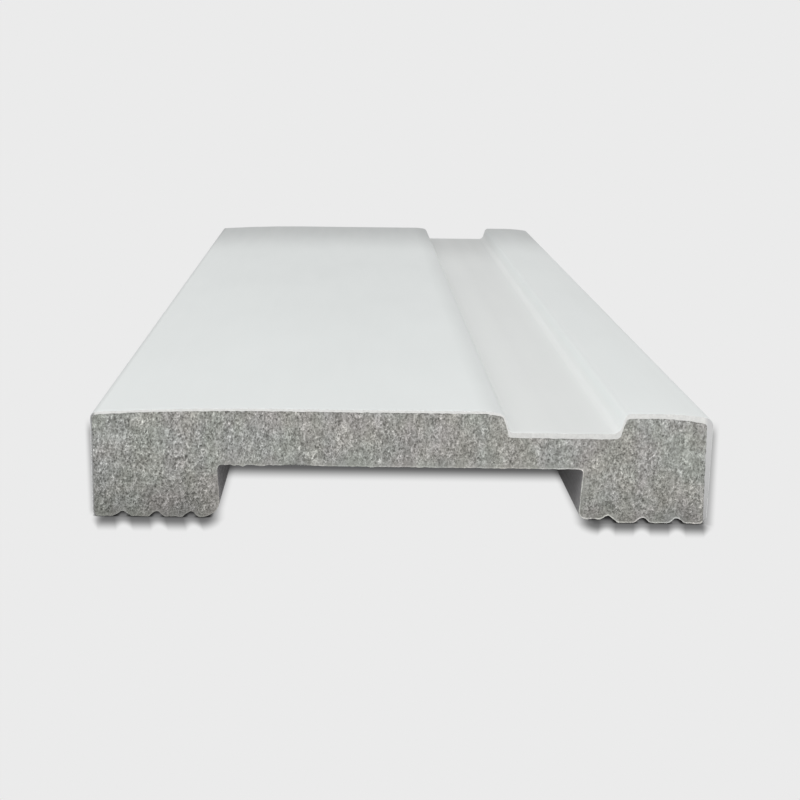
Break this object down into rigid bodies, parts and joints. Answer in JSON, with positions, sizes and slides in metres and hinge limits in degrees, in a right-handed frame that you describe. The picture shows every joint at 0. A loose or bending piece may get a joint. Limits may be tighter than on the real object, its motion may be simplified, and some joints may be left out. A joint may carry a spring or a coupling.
{
  "type": "architrave moulding",
  "caption": "Cut length of foamed plastic architrave: wide face, recess and raised band under a white film, with grooved feet and a wide channel at the back.",
  "frame": {"origin": "middle of the base, on the level of the soles of the two feet", "axes": "+X across the width from the wide face towards the raised band, +Y along the moulding, +Z through its thickness towards the face"},
  "size_m": [0.1, 0.25, 0.0184],
  "materials": {
    "foam": "fine-celled grey foam, sawn at the ends",
    "white_film": "smooth satin white film"
  },
  "bodies": {
    "root": {"foam_core": "foam", "face_film": "white_film"}
  },
  "joints": []
}
